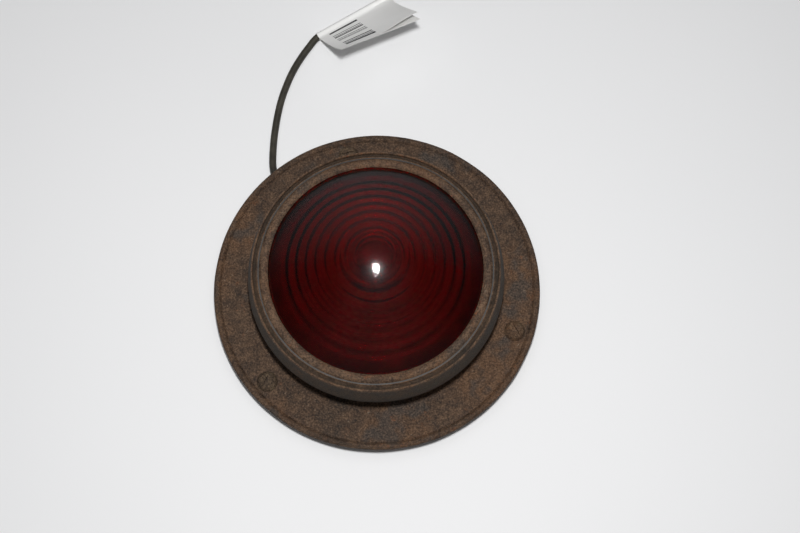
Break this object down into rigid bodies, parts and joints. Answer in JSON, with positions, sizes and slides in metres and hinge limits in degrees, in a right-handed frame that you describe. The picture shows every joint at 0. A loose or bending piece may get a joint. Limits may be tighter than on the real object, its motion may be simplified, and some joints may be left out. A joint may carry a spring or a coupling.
{
  "type": "signal lamp",
  "caption": "Round flange-mounted signal lamp: steel base pan, lift-off cover with a crimped ring and red dome lens, bayonet bulb, reflector and a short coiled lead.",
  "frame": {"origin": "on the lamp axis, in the plane of the base pan underside that rests on the mounting surface", "axes": "+Z is the lamp axis, towards the lens top; +Y points to the side where the lead lies; +X completes the right-hand frame"},
  "size_m": [0.1644, 0.3008, 0.0716],
  "materials": {
    "painted_steel": "worn dark paint with brown rust",
    "bare_steel": "dull, tarnished",
    "screw_steel": "rusted and worn",
    "spring_steel": "bright",
    "gasket": "matte",
    "brass": "tarnished",
    "fibre": "matte",
    "reflector": "polished, slightly dulled",
    "black_glass": "glossy",
    "solder": "dull tinned",
    "clear_glass": "clear",
    "filament": "matte",
    "red_glass": "deep red, glossy",
    "lead": "satin",
    "tie": "matte",
    "paper": "matte paper"
  },
  "bodies": {
    "root": {"base_pan": "painted_steel", "cover_posts": "bare_steel", "base_gasket": "gasket", "socket_bracket": "bare_steel", "bracket_rivets": "bare_steel", "socket_shell": "brass", "socket_insulator": "fibre", "socket_terminal": "brass", "contact_spring": "spring_steel", "reflector": "reflector", "reflector_rivets": "bare_steel", "cord_grommet": "gasket", "inner_lead": "lead", "lead_clip": "bare_steel", "lead_clip_rivet": "bare_steel", "cord_tube": "lead", "cord_coil": "lead", "coil_tie": "tie", "cord_tail": "lead", "lead_terminal": "solder", "paper_tag": "paper"},
    "plunger": {"contact_plunger": "fibre"},
    "bulb": {"bulb_cap": "brass", "bulb_pins": "brass", "bulb_insulator": "black_glass", "bulb_contact": "solder", "bulb_stem": "clear_glass", "bulb_supports": "spring_steel", "bulb_filament": "filament", "bulb_glass": "clear_glass"},
    "cover": {"cover_flange": "painted_steel", "cover_neck": "painted_steel", "seat_gasket": "gasket", "lens": "red_glass", "lens_cushion": "gasket", "retaining_ring": "painted_steel"},
    "screws": {"cover_screws": "screw_steel"}
  },
  "joints": [
    {"name": "cover_lift", "type": "slide", "parent": "root", "child": "cover", "axis": [0, 0, 1], "range_m": [0, 0.07]},
    {"name": "screws_out", "type": "slide", "parent": "cover", "child": "screws", "axis": [0, 0, 1], "range_m": [0, 0.012]},
    {"name": "bulb_push", "type": "slide", "parent": "root", "child": "plunger", "axis": [0, 0, -1], "range_m": [0, 0.0015], "stiffness_N_per_m": 1200, "springref_m": -0.004, "deforming": ["contact_spring"]},
    {"name": "bulb_turn", "type": "hinge", "parent": "plunger", "child": "bulb", "pos_m": [0, 0, 0.0248], "axis": [0, 0, 1], "range_deg": [0, 20]}
  ]
}
